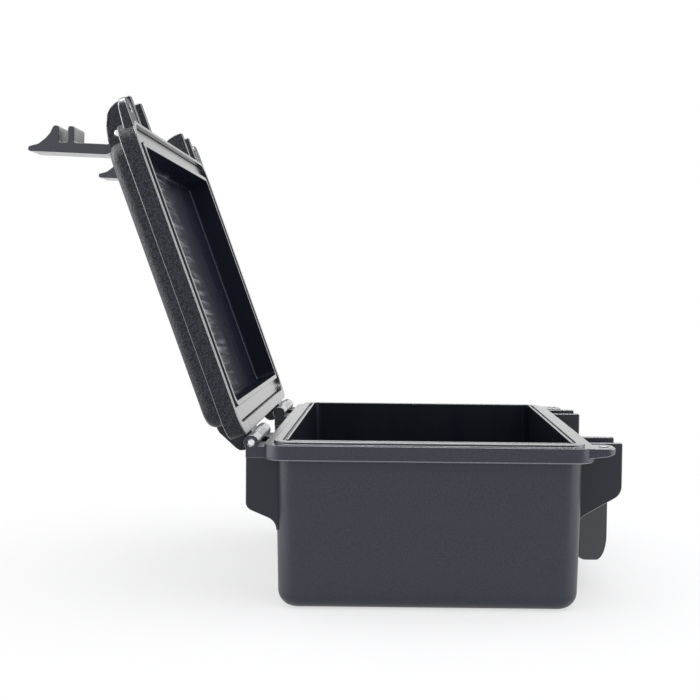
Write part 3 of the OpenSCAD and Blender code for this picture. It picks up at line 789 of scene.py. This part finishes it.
class CASE_OT_make_tub(bpy.types.Operator):
    """Make the moulded tub with its rim, brackets, ears and tabs"""
    bl_idname = "case.make_tub"
    bl_label = "Tub"

    def execute(self, context):
        shell, tub, _, fitting = case_sizes()
        rim = HINGE.z
        slimmer = (shell.length - shell.width) / 2
        half = shell.length / 2
        wall = half - tub.overhang
        mouth = wall - tub.wall
        mouth_corner = tub.corner - tub.wall
        ridge, groove = mouth + tub.ridge, mouth + tub.ridge + tub.groove
        top, groove_floor = rim + tub.plateau, rim + tub.plateau - tub.groove_depth
        ridge_top = top + tub.ridge_height
        plateau, plateau_corner = half - tub.plateau_inset, 8.7 * MM
        flat = wall - 16 * MM
        # From the bottom's outside up the wall, over the rim and down to the floor
        section = [
            (flat, 0, 1 * MM, 0),
            (wall - tub.draft, 0, tub.corner, tub.bottom_edge),
            (wall, rim - tub.flange, tub.corner, 0.8 * MM),
            (half, rim - tub.flange, shell.corner, 1.1 * MM),
            (half, rim, shell.corner, 0.25 * MM),
            (plateau, rim, plateau_corner, 0.3 * MM),
            (plateau, top, plateau_corner, 0.4 * MM),
            (groove, top, mouth_corner + groove - mouth, 0.2 * MM),
            (groove, groove_floor, mouth_corner + groove - mouth, 0.2 * MM),
            (ridge, groove_floor, mouth_corner + tub.ridge, 0.2 * MM),
            (ridge, ridge_top, mouth_corner + tub.ridge, 0.5 * MM),
            (mouth, ridge_top, mouth_corner, 0.5 * MM),
            (mouth - tub.draft, tub.floor, mouth_corner, mouth_corner * 0.9),
            (flat, tub.floor, mouth_corner * 0.1, 0)]
        made = new_object("tub", lambda bm: ring_shell(bm, section, slimmer))
        tabs = padlock_tabs(shell, rim - 0.05 * MM, -1, tub.overhang)
        combine(made, [*self.front_brackets(shell, tub), *self.rear_brackets(shell, tub), tabs], "UNION")
        combine(made, self.holes(shell, fitting), "DIFFERENCE")
        tab_start = half - shell.tab_inset - shell.tab_width

        def pick(face):
            x, y, z = (abs(part) for part in face.center)
            across, up = abs(face.normal.x), abs(face.normal.z)
            on_cheek = y > half - slimmer + 0.3 * MM and x < tab_start
            if max(x - mouth, y - mouth + slimmer) < TOUCH and z > tub.floor / 2:
                return "inside"
            if z > rim - TOUCH and face.normal.z > FLAT and not on_cheek:
                return "mating"
            # Rounded edges and slopes take the pale edge finish, a painted highlight
            if z > rim - tub.flange - 2 * TOUCH and 0.25 < up <= FLAT:
                return "edge"
            out = y > wall - slimmer + 0.5 * MM and (z < rim - tub.flange or x < tab_start)
            if out and 0.2 < across < FLAT and (face.center.y < 0 or z > rim - tub.flange / 2):
                return "edge"
            smooth = out and across > 0.2 and (z < rim - tub.flange / 2 or on_cheek)
            return "bracket" if smooth else "tub"

        finish_piece(made, "base", ["base_shell"],
                     ("tub", "inside", "mating", "edge", "bracket"), pick)
        return {"FINISHED"}

    def front_brackets(self, shell, tub):
        """Two cheeks and a keeper bar for each latch."""
        start, cheek_pitch, bracket_pitch = latch_rows(shell)
        root = shell.width / 2 - tub.overhang - tub.wall / 2
        side = bracket_outline(
            root, HINGE.z - 0.04 * MM, shell.width / 2 + shell.cheek_reach, lip=0.6 * MM,
            corner_radius=6.5 * MM, corner_height=HINGE.z - 19.8 * MM, slope=30,
            wall=tub_half(shell, tub, HINGE.z / 2), foot_radius=8 * MM)
        side = [Vector((-p.x, p.y)) for p in side][::-1]
        low, high = LATCH_PIVOT.z - 26.7 * MM, LATCH_PIVOT.z - 23.9 * MM
        front = -tub_half(shell, tub, high) - 5.2 * MM
        bar = outline([(-root, low, 0), (-root, high, 0), (front, high, 0.7 * MM), (front, low, 0.7 * MM)])
        end = start + (shell.latch_gap + 2 * shell.cheek)
        return [
            slabs("front cheeks", side, start, start + shell.cheek, 0.5 * MM, cheek_pitch, bracket_pitch),
            slabs("keeper bars", bar, start + 1 * MM, end - 1 * MM, 0.2 * MM, bracket_pitch)]

    def rear_brackets(self, shell, tub):
        """Two ears on a shelf with four ribs for each hinge."""
        start, hinge, bracket_pitch = hinge_rows(shell)
        behind, cut, in_by = 2.5 * MM, 0.42, 0.6 * MM
        back = HINGE.y + behind
        shelf = HINGE.z - (shell.barrel + 0.3 * MM - behind * math.cos(LID_OPEN)) / math.sin(LID_OPEN)
        root = shell.width / 2 - tub.overhang - tub.wall / 2
        lean = math.degrees(math.asin(cut))
        drop = -math.degrees(math.acos(behind / shell.barrel))
        ear = outline(
            [(root, shelf - 2 * MM, 0), (root, HINGE.z - cut * shell.barrel, 0)]
            + arc((HINGE.y, HINGE.z), shell.barrel, 180 + lean, drop, 22) + [(back, shelf - 2 * MM, 0)])
        plate = outline([
            (root, shelf - 2.5 * MM, 0), (back, shelf - 2.5 * MM, 0.4 * MM), (back, shelf, 0.4 * MM),
            (root, shelf, 0)])
        side = bracket_outline(
            root, shelf - 0.1 * MM, back - 0.05 * MM, lip=0, corner_radius=4 * MM,
            corner_height=HINGE.z - 26.8 * MM, slope=23, wall=tub_half(shell, tub, HINGE.z / 2),
            foot_radius=6 * MM)
        ear_pitch = hinge - shell.ear
        return [
            slabs("ears", ear, start, start + shell.ear, 0.35 * MM, ear_pitch, bracket_pitch),
            slabs("shelves", plate, start + in_by, start + hinge - in_by, 0.35 * MM, bracket_pitch),
            slabs("hinge ribs", side, start + in_by + 0.03 * MM, start + in_by + shell.cheek - 0.03 * MM,
                  0.7 * MM, shell.ear - shell.cheek - in_by, ear_pitch - in_by, bracket_pitch)]

    def holes(self, shell, fitting):
        """Bores for the hinge pins, the handle pins and the padlocks."""
        start, hinge, _ = hinge_rows(shell)
        latch_start, cheek_pitch, _ = latch_rows(shell)
        inner = latch_start + cheek_pitch
        seat = shell.pin + SEAT_PLAY
        left = [
            (start - 1 * MM, seat + 1.25 * MM), (start + 0.25 * MM, seat),
            (start + hinge - shell.pin_cover + SEAT_PLAY, seat)]
        right = [(-along, radius) for along, radius in left[::-1]]
        return [
            new_object("left hinge bore", lambda bm: turned(bm, (0, HINGE.y, HINGE.z), left)),
            new_object("right hinge bore", lambda bm: turned(bm, (0, HINGE.y, HINGE.z), right)),
            bores("handle bores", HANDLE_PIVOT, fitting.handle_pin + SEAT_PLAY, inner, inner + shell.cheek,
                  0.2 * MM, -2 * inner - shell.cheek),
            shackle_holes(shell, HINGE.z - 4.1 * MM, HINGE.z)]


class CASE_OT_make_lid(bpy.types.Operator):
    """Make the moulded lid with its skirt, channel, cheeks, tabs and hinge arms"""
    bl_idname = "case.make_lid"
    bl_label = "Lid"

    def execute(self, context):
        shell, tub, lid, fitting = case_sizes()
        low = HINGE.z + lid.gap
        step, top = low + lid.skirt, low + lid.skirt + lid.crown
        half = shell.length / 2
        slimmer = (shell.length - shell.width) / 2
        crown, crown_corner = half - lid.crown_inset, shell.corner - lid.crown_inset
        inner = half - tub.overhang - tub.wall - lid.lip - lid.lip_gap
        inner_corner = tub.corner - tub.wall
        ledge, back = lid.crown_ledge - lid.crown_inset, shell.lid_back
        lip_corner, channel_corner = 3.6 * MM, 9 * MM
        lip = inner + lid.lip
        channel = half - lid.skirt_wall
        roof, channel_roof = top - lid.top, low + lid.channel
        # From the hollow's roof down, through the seal's channel, round the skirt and up to the top
        section = [
            (inner - 12 * MM, roof, 1 * MM, 0),
            (inner, roof, inner_corner, 1.6 * MM),
            (inner, low, inner_corner, 0.35 * MM),
            (lip, low, lip_corner, 0.35 * MM),
            (lip, channel_roof, lip_corner, 0.3 * MM),
            (channel, channel_roof, channel_corner, 0.3 * MM),
            (channel, low, channel_corner, 0.3 * MM),
            (half, low, shell.corner, 0.6 * MM, 0, back),
            (half, step, shell.corner, 0.5 * MM, 0, back),
            (crown, step, crown_corner, 0.35 * MM, ledge, back),
            (crown - lid.crown_draft, top, crown_corner, lid.crown_edge, ledge, back),
            (crown - 14 * MM, top, 1 * MM, 0, ledge, back)]
        made = new_object("lid", lambda bm: ring_shell(bm, section, slimmer))
        combine(made, [self.recesses(shell, fitting.hub + 0.3 * MM, top)], "DIFFERENCE")
        tabs = padlock_tabs(shell, low + 0.05 * MM, 1, (lid.skirt_wall + back) / 2, 3.2 * MM)
        combine(made, [self.arms(shell, lid, top), self.cheeks(shell, lid, low), tabs], "UNION")
        combine(made, self.holes(shell, low), "DIFFERENCE")
        front = back - half + slimmer

        def pick(face):
            x, y, z = abs(face.center.x), face.center.y, face.center.z
            across, up = abs(face.normal.x), face.normal.z
            if x < inner + TOUCH and abs(y) < inner - slimmer + TOUCH and z < roof + TOUCH:
                return "cavity"
            if up < -0.6 and z < low + 0.5 * MM and y > front - 0.3 * MM:
                return "mating"
            if x < channel + TOUCH and abs(y) < channel - slimmer + TOUCH and z < channel_roof + TOUCH:
                return "mating"
            # Rounded edges, slopes and the crown's step take the pale edge finish, a painted highlight
            if z < step + TOUCH and 0.25 < abs(up) <= FLAT and abs(face.normal.y) < 0.97:
                return "edge"
            on_step = up > FLAT and abs(z - step) < TOUCH and x > crown
            return "edge" if on_step or y < front - 0.5 * MM and 0.2 < across < FLAT else "lid"

        finish_piece(made, "lid", ["lid_shell"],
                     ("lid", "cavity", "mating", "edge"), pick, LID_POSE)
        return {"FINISHED"}

    def arms(self, shell, lid, top):
        """Barrels of the two hinges and the arms that join them to the lid."""
        start, _, pitch = hinge_rows(shell)
        start += shell.ear + shell.knuckle_gap
        edge = shell.width / 2 + shell.lid_back
        reach = HINGE.y + shell.barrel - edge
        height = top - HINGE.z
        # The upper edge, in shares of the arm's reach and height, with radii in millimetres
        upper = [
            (-1.35, 0.82, 0), (-1.25, 0.96, 0.8), (-0.8, 0.985, 1.5), (-0.5, 0.96, 1.5), (0.72, 0.645, 1.2),
            (0.93, 0.56, 1), (1, 0.45, 0.8)]
        corners = [(edge + a * reach, HINGE.z + b * height, r * MM) for a, b, r in upper]
        corners += arc((HINGE.y, HINGE.z), shell.barrel, 0, -180, 22)
        low = HINGE.z + lid.gap
        roof = low + lid.channel
        corners += [
            (HINGE.y - shell.barrel, low, 0.1 * MM), (edge - 2 * MM, low + 0.03 * MM, 0),
            (edge - 2 * MM, roof + 0.4 * MM, 0), (edge - 9.7 * MM, roof + 0.7 * MM, 0)]
        return slabs("hinge arms", outline(corners), start, start + shell.knuckle, 0.35 * MM, pitch)

    def cheeks(self, shell, lid, low):
        """Latch cheeks, whose rounded edge runs from the skirt up over the crown."""
        start, cheek_pitch, bracket_pitch = latch_rows(shell)
        # In shares of the cheek's reach and height, with radii in millimetres
        shares = [
            (1, 0.002, 0.9), (0.99, 0.24, 3), (0.92, 0.49, 3), (0.81, 0.67, 2), (0.67, 0.78, 2),
            (0.34, 0.905, 3), (-0.12, 0.985, 3), (-0.4, 1, 1.2), (-0.57, 0.97, 1.2), (-0.68, 0.88, 0.8),
            (-0.75, 0.76, 0), (-0.54, 0.6, 0), (-0.3, 0.38, 0), (-0.3, 0.34, 0), (-0.07, 0.34, 0),
            (-0.07, 0.002, 0)]
        front = shell.lid_back - shell.width / 2
        side = outline([
            (front - a * shell.lid_cheek_reach, low + b * lid.cheek_height, r * MM) for a, b, r in shares])
        return slabs("lid cheeks", side, start, start + shell.cheek, 0.75 * MM, cheek_pitch, bracket_pitch)

    def recesses(self, shell, hub, top):
        """Room in the lid's ledge for the latch hubs."""
        start, _, bracket_pitch = latch_rows(shell)
        left = start + shell.cheek
        back, over = LATCH_PIVOT.y + 6 * MM, top + 2 * MM
        side = outline(
            arc((LATCH_PIVOT.y, LATCH_PIVOT.z), hub, 180, 360, 24)
            + [(back, LATCH_PIVOT.z, 0), (back, over, 0), (LATCH_PIVOT.y - hub, over, 0)])
        return repeated("latch recesses", lambda bm: prism(
            bm, side, left - 0.2 * MM, left + shell.latch_gap + 0.2 * MM, 0.01 * MM, steps=1), bracket_pitch)

    def holes(self, shell, low):
        """Bores for the pins and holes for the padlocks."""
        start, hinge, hinge_pitch = hinge_rows(shell)
        latch_start, cheek_pitch, bracket_pitch = latch_rows(shell)
        past_ear = shell.ear + shell.knuckle_gap
        return [
            bores("knuckle bores", HINGE, shell.pin + TURN_PLAY, start + past_ear, start + hinge - past_ear,
                  0.2 * MM, hinge_pitch),
            bores("latch bores", LATCH_PIVOT, shell.pin + SEAT_PLAY, latch_start,
                  latch_start + cheek_pitch + shell.cheek, 0.25 * MM, bracket_pitch),
            shackle_holes(shell, low, low + 4.1 * MM)]


class CASE_OT_make_seal(bpy.types.Operator):
    """Make the rubber seal in the lid's channel"""
    bl_idname = "case.make_seal"
    bl_label = "Seal"

    def execute(self, context):
        shell, tub, lid, _ = case_sizes()
        outer = shell.length / 2 - lid.skirt_wall - lid.seal_gap
        inner = shell.length / 2 - tub.overhang - tub.wall - lid.lip_gap + lid.seal_gap
        values = {
            "Length": outer + inner, "Width": outer + inner - shell.length + shell.width,
            "Corner radius": 6.3 * MM, "Band width": outer - inner, "Band thickness": lid.seal,
            "Edge radius": 0.5 * MM, "Lift": HINGE.z + lid.gap + lid.channel - lid.seal / 2}
        tree = geometry_tree(
            "Seal along the channel", [(label, "Float") for label in values], band_along_channel)
        made = new_object("seal", lambda bm: None)
        run_tree(made, tree, {**values, "Material": finish_material("rubber")})
        if len(made.data.polygons) < 100:
            raise RuntimeError("the seal's tree made no band")
        bm = bmesh.new()
        bm.from_mesh(made.data)
        bmesh.ops.recalc_face_normals(bm, faces=bm.faces)
        bm.to_mesh(made.data)
        bm.free()
        finish_piece(made, "lid", ["lid_gasket"], ("rubber",), pose=LID_POSE)
        return {"FINISHED"}


class CASE_OT_make_pins(bpy.types.Operator):
    """Make the steel pins of the hinges, latches and handle"""
    bl_idname = "case.make_pins"
    bl_label = "Pins"

    def execute(self, context):
        shell, _, _, fitting = case_sizes()
        start, hinge, _ = hinge_rows(shell)
        latch_start, cheek_pitch, bracket_pitch = latch_rows(shell)
        handle_start = latch_start + cheek_pitch
        handle_pin = shell.cheek + fitting.arm_play + fitting.arm
        hinge_pin = hinge - shell.pin_cover
        self.pins("hinge", HINGE, start, hinge_pin, shell.pin, -2 * start - hinge_pin, "base")
        self.pins("latch", LATCH_PIVOT, latch_start, cheek_pitch + shell.cheek, shell.pin, bracket_pitch,
                  "lid", LID_POSE)
        self.pins("handle", HANDLE_PIVOT, handle_start, handle_pin, fitting.handle_pin,
                  -2 * handle_start - handle_pin, "base")
        return {"FINISHED"}

    def pins(self, place, axis, start, length, radius, pitch, body, pose=None):
        """Two pins with a crowned and chamfered end each."""
        crown, chamfer = 0.12 * MM, 0.3 * MM
        ends = [(0, radius * 0.3), (crown * 0.35, radius * 0.62), (crown, radius - chamfer),
                (crown + 0.1 * MM, radius - 0.12 * MM), (crown + chamfer, radius)]
        profile = ends + [(length - along, r) for along, r in ends[::-1]]
        made = repeated(f"{place}_pins", lambda bm: turned(bm, (start, axis.y, axis.z), profile), pitch,
                        material=finish_material("steel"))
        nodes = [f"{place}_pin_left", f"{place}_pin_right"]
        finish_piece(made, body, nodes, ("steel",), pose=pose)


class CASE_OT_make_latches(bpy.types.Operator):
    """Make the two latches, swung out"""
    bl_idname = "case.make_latches"
    bl_label = "Latches"

    def execute(self, context):
        shell, _, _, fitting = case_sizes()
        start, _, bracket_pitch = latch_rows(shell)
        width = shell.latch_gap - 2 * fitting.lever_play
        left = start + shell.cheek + fitting.lever_play
        side = self.side(fitting)
        for way, x in (("left", left), ("right", left + bracket_pitch)):
            made = new_object(f"{way}_latch", lambda bm: prism(bm, side, x, x + width, 0.35 * MM))
            bored = bores("latch bore", LATCH_PIVOT, shell.pin + TURN_PLAY, x, x + width, 0.25 * MM)
            combine(made, [bored], "DIFFERENCE")
            finish_piece(made, f"{way}_latch", [f"latch_{way}"], ("fitting",),
                         pose=LATCH_POSE)
        return {"FINISHED"}

    def side(self, fitting):
        """Side of the lever: hub, plate, two posts that hold the keeper bar and a finger lip."""
        face, plate = -fitting.lever_face, fitting.lever - fitting.lever_face
        tip, thick = -fitting.lever_length, fitting.lever
        end, post = 2.6 * MM, 3 * MM
        lower, upper = -27.3 * MM, -23.3 * MM
        corners = arc((0, 0), fitting.hub, -108, 135, 26)
        corners += [
            (face, -1.2 * fitting.hub, 4 * MM),
            (face, tip, 0.95 * MM), (face + 0.45 * thick, tip + 0.2 * MM, 0.7 * MM),
            (plate - 0.25 * thick, tip + thick, 3 * MM), (plate + 0.25 * thick, tip + 1.6 * thick, 3 * MM),
            (end - 0.75 * thick, lower - post - 0.25 * thick, 2 * MM),
            (end - 0.3 * post, lower - post, 0.6 * MM), (end, lower - 0.7 * post, 0.8 * MM),
            (end, lower, 1.1 * MM), (plate, lower, 0.5 * MM),
            (plate, upper, 0.5 * MM), (end, upper, 1.1 * MM), (end, upper + post, 1.1 * MM),
            (plate, upper + post, 0.8 * MM), (plate, -fitting.hub, 1.2 * MM)]
        return [p + Vector((LATCH_PIVOT.y, LATCH_PIVOT.z)) for p in outline(corners)]


class CASE_OT_make_handle(bpy.types.Operator):
    """Make the carry handle, hanging on the front"""
    bl_idname = "case.make_handle"
    bl_label = "Handle"

    def execute(self, context):
        shell, _, _, fitting = case_sizes()
        start, cheek_pitch, _ = latch_rows(shell)
        outer = -(start + cheek_pitch + shell.cheek + fitting.arm_play)
        inner = outer - fitting.arm
        half, drop = fitting.handle_half, fitting.handle_drop
        heel, heel_height = 5 * MM, 12 * MM
        corners = arc((0, 0), half, 0, 180, 28)
        corners += arc((heel - half, heel_height - drop), heel, 180, 270, 12, heel_height)
        corners += arc((half - heel, heel - drop), heel, -90, 0, 10)
        side = [p + Vector((HANDLE_PIVOT.y, HANDLE_PIVOT.z)) for p in outline(corners)]
        made = new_object("handle", lambda bm: prism(bm, side, -outer, outer, 0.05 * MM, steps=1))
        grip_top, over = HANDLE_PIVOT.z - drop + fitting.grip, HANDLE_PIVOT.z + 2 * half
        gap = outline([
            (-inner, grip_top, 5 * MM), (inner, grip_top, 5 * MM), (inner, over, 0), (-inner, over, 0)])

        def window(bm):
            prism(bm, gap, -half * 2, half * 2, 0.01 * MM, "Z", steps=1)
            bmesh.ops.transform(bm, verts=bm.verts, matrix=Matrix((
                (1, 0, 0, 0), (0, 0, 1, HANDLE_PIVOT.y), (0, 1, 0, 0), (0, 0, 0, 1))))
            bmesh.ops.reverse_faces(bm, faces=bm.faces)

        combine(made, [new_object("window", window)], "DIFFERENCE")
        bevel = made.modifiers.new("Soft edges", "BEVEL")
        bevel.width = 1.6 * MM
        bevel.segments = 4
        bevel.limit_method = "ANGLE"
        bevel.angle_limit = math.radians(50)
        bevel.use_clamp_overlap = True
        apply_modifiers(made)
        bored = bores("handle bore", HANDLE_PIVOT, fitting.handle_pin + TURN_PLAY, -outer, -inner, 0.3 * MM,
                      outer + inner)
        combine(made, [bored], "DIFFERENCE")
        finish_piece(made, "handle", ["carry_handle"], ("fitting",))
        return {"FINISHED"}


# Stage

CAMERA_FROM = Vector((-0.652, 0.0154, 0.1425))
CAMERA_DOWN = math.radians(2.72)
CAMERA_ROLL = math.radians(0.63)
CAMERA_LENS = 64.85
CAMERA_SHIFT = -0.0657
LAMPS_AIM = Vector((0, 0, 0.08))


def seen_directly(node):
    """1 for rays from the camera, also by gloss and through glass, and 0 for light on other surfaces."""
    path = node("ShaderNodeLightPath").outputs
    seen = node("ShaderNodeMath", {
        0: path["Is Camera Ray"], 1: path["Is Glossy Ray"]}, operation="MAXIMUM")
    return node("ShaderNodeMath", {0: seen, 1: path["Is Transmission Ray"]}, operation="MAXIMUM")


def floor_surface(node, place, hex_code):
    """Matt white floor, which fades into the white surroundings away from the case."""
    paper = node("ShaderNodeTexNoise", {"Vector": place, "Scale": 1 / (30 * MM), "Detail": 4.0})
    tone = node("ShaderNodeMix", {
        "Factor": paper, "A": linear(hex_code, 0.985), "B": linear(hex_code)}, data_type="RGBA")
    matt = node("ShaderNodeBsdfPrincipled", {
        "Base Color": tone, "Roughness": 0.9, "Specular IOR Level": 0.1})
    away = node("ShaderNodeVectorMath", {0: place}, operation="LENGTH")
    fade = node("ShaderNodeMapRange", {
        "Value": away, "From Min": 0.1, "From Max": 0.42, "To Min": 0.6, "To Max": 1.0},
        interpolation_type="SMOOTHSTEP")
    white = node("ShaderNodeEmission", {"Color": (1, 1, 1, 1), "Strength": 1.0})
    share = node("ShaderNodeMath", {0: fade, 1: seen_directly(node)}, operation="MULTIPLY")
    return node("ShaderNodeMixShader", {0: share, 1: matt, 2: white})


class CASE_OT_make_stage(bpy.types.Operator):
    """Make the pale floor, the soft light and the camera"""
    bl_idname = "case.make_stage"
    bl_label = "Stage"

    def execute(self, context):
        scene = context.scene
        self.floor(scene.tool_case.finish)
        self.surroundings(scene, scene.tool_case.light)
        self.lamps(scene, scene.tool_case.light)
        self.camera(scene)
        scene.view_settings.view_transform = "Standard"
        return {"FINISHED"}

    def floor(self, finish):
        """Pale floor, wider than the camera sees."""
        made = new_object("floor", lambda bm: bmesh.ops.create_grid(
            bm, x_segments=8, y_segments=8, size=3.0))
        made.data.materials.append(new_material("Matt white floor", floor_surface, finish.floor))

    def surroundings(self, scene, light):
        """White to the eye and in reflections, a plain pale light to everything else."""
        scene.world = bpy.data.worlds.new("Pale surroundings")
        scene.world.use_nodes = True
        scene.world.node_tree.nodes.clear()
        node = partial(add_node, scene.world.node_tree)
        strength = node("ShaderNodeMix", {
            "Factor": seen_directly(node), "A": light.around, "B": 1.0}, data_type="FLOAT")
        back = node("ShaderNodeBackground", {"Color": (1, 1, 1, 1), "Strength": strength})
        node("ShaderNodeOutputWorld", {"Surface": back})

    def lamps(self, scene, light):
        """Large soft lamps above and at both sides, and three that only show in the gloss."""
        for name, place, power, width, height, gloss_only in (
                ("Top light", (0.05, 0.0, 0.9), light.key, 0.9, 0.9, False),
                ("Hinge side light", (-0.25, 0.75, 0.55), light.side, 0.6, 0.6, False),
                ("Latch side light", (-0.25, -0.75, 0.5), light.side, 0.6, 0.6, False),
                ("Edge light", (-0.1, 0.0, 1.0), light.edge, 1.2, 0.5, True),
                ("Hinge side glow", (-0.1, 0.9, 0.3), light.glow, 1.0, 0.9, True),
                ("Latch side glow", (-0.1, -0.9, 0.3), light.glow, 1.0, 0.9, True)):
            data = bpy.data.lights.new(name, "AREA")
            data.shape = "RECTANGLE"
            data.size = width
            data.size_y = height
            data.energy = power
            lamp = bpy.data.objects.new(name, data)
            lamp.visible_camera = False
            lamp.visible_diffuse = not gloss_only
            scene.collection.objects.link(lamp)
            turn = (LAMPS_AIM - Vector(place)).to_track_quat("-Z", "Y").to_matrix().to_4x4()
            lamp.matrix_world = Matrix.Translation(place) @ turn

    def camera(self, scene):
        """Camera at the photograph's angle, from the near end of the case."""
        ahead = Vector((math.cos(CAMERA_DOWN), 0, -math.sin(CAMERA_DOWN)))
        across = Vector((0, -1, 0))
        up = across.cross(ahead)
        cos, sin = math.cos(CAMERA_ROLL), math.sin(CAMERA_ROLL)
        right = across * cos + up * sin
        above = up * cos - across * sin
        data = bpy.data.cameras.new("Camera")
        data.sensor_width = 36
        data.lens = CAMERA_LENS
        data.shift_x = CAMERA_SHIFT
        data.clip_start = 0.01
        made = bpy.data.objects.new("Camera", data)
        scene.collection.objects.link(made)
        turn = Matrix((right, above, -ahead)).transposed().to_4x4()
        made.matrix_world = Matrix.Translation(CAMERA_FROM) @ turn
        scene.camera = made


class CASE_PT_panel(bpy.types.Panel):
    """Sidebar panel with the case's pieces"""
    bl_idname = "CASE_PT_panel"
    bl_label = "Tool case"
    bl_space_type = "VIEW_3D"
    bl_region_type = "UI"
    bl_category = "Tool case"

    def draw(self, context):
        settings = context.scene.tool_case
        for part in ("shell", "tub", "lid", "fitting", "finish", "light"):
            box = self.layout.box()
            box.label(text=part.capitalize())
            group = getattr(settings, part)
            for name in group.__annotations__:
                box.prop(group, name)
        for maker in OPERATORS:
            self.layout.operator(maker.bl_idname)


OPERATORS = (
    CASE_OT_make_tub, CASE_OT_make_lid, CASE_OT_make_seal, CASE_OT_make_pins,
    CASE_OT_make_latches, CASE_OT_make_handle, CASE_OT_make_stage)
CLASSES = (
    ShellSizes, TubSizes, LidSizes, FittingSizes, Finishes, StageLight, CaseSettings,
    *OPERATORS, CASE_PT_panel)


def register():
    for made in CLASSES:
        bpy.utils.register_class(made)
    bpy.types.Scene.tool_case = PointerProperty(type=CaseSettings)


def unregister():
    del bpy.types.Scene.tool_case
    for made in reversed(CLASSES):
        bpy.utils.unregister_class(made)


def main():
    register()
    for maker in OPERATORS:
        group, name = maker.bl_idname.split(".")
        getattr(getattr(bpy.ops, group), name)()


if __name__ == "__main__":
    main()
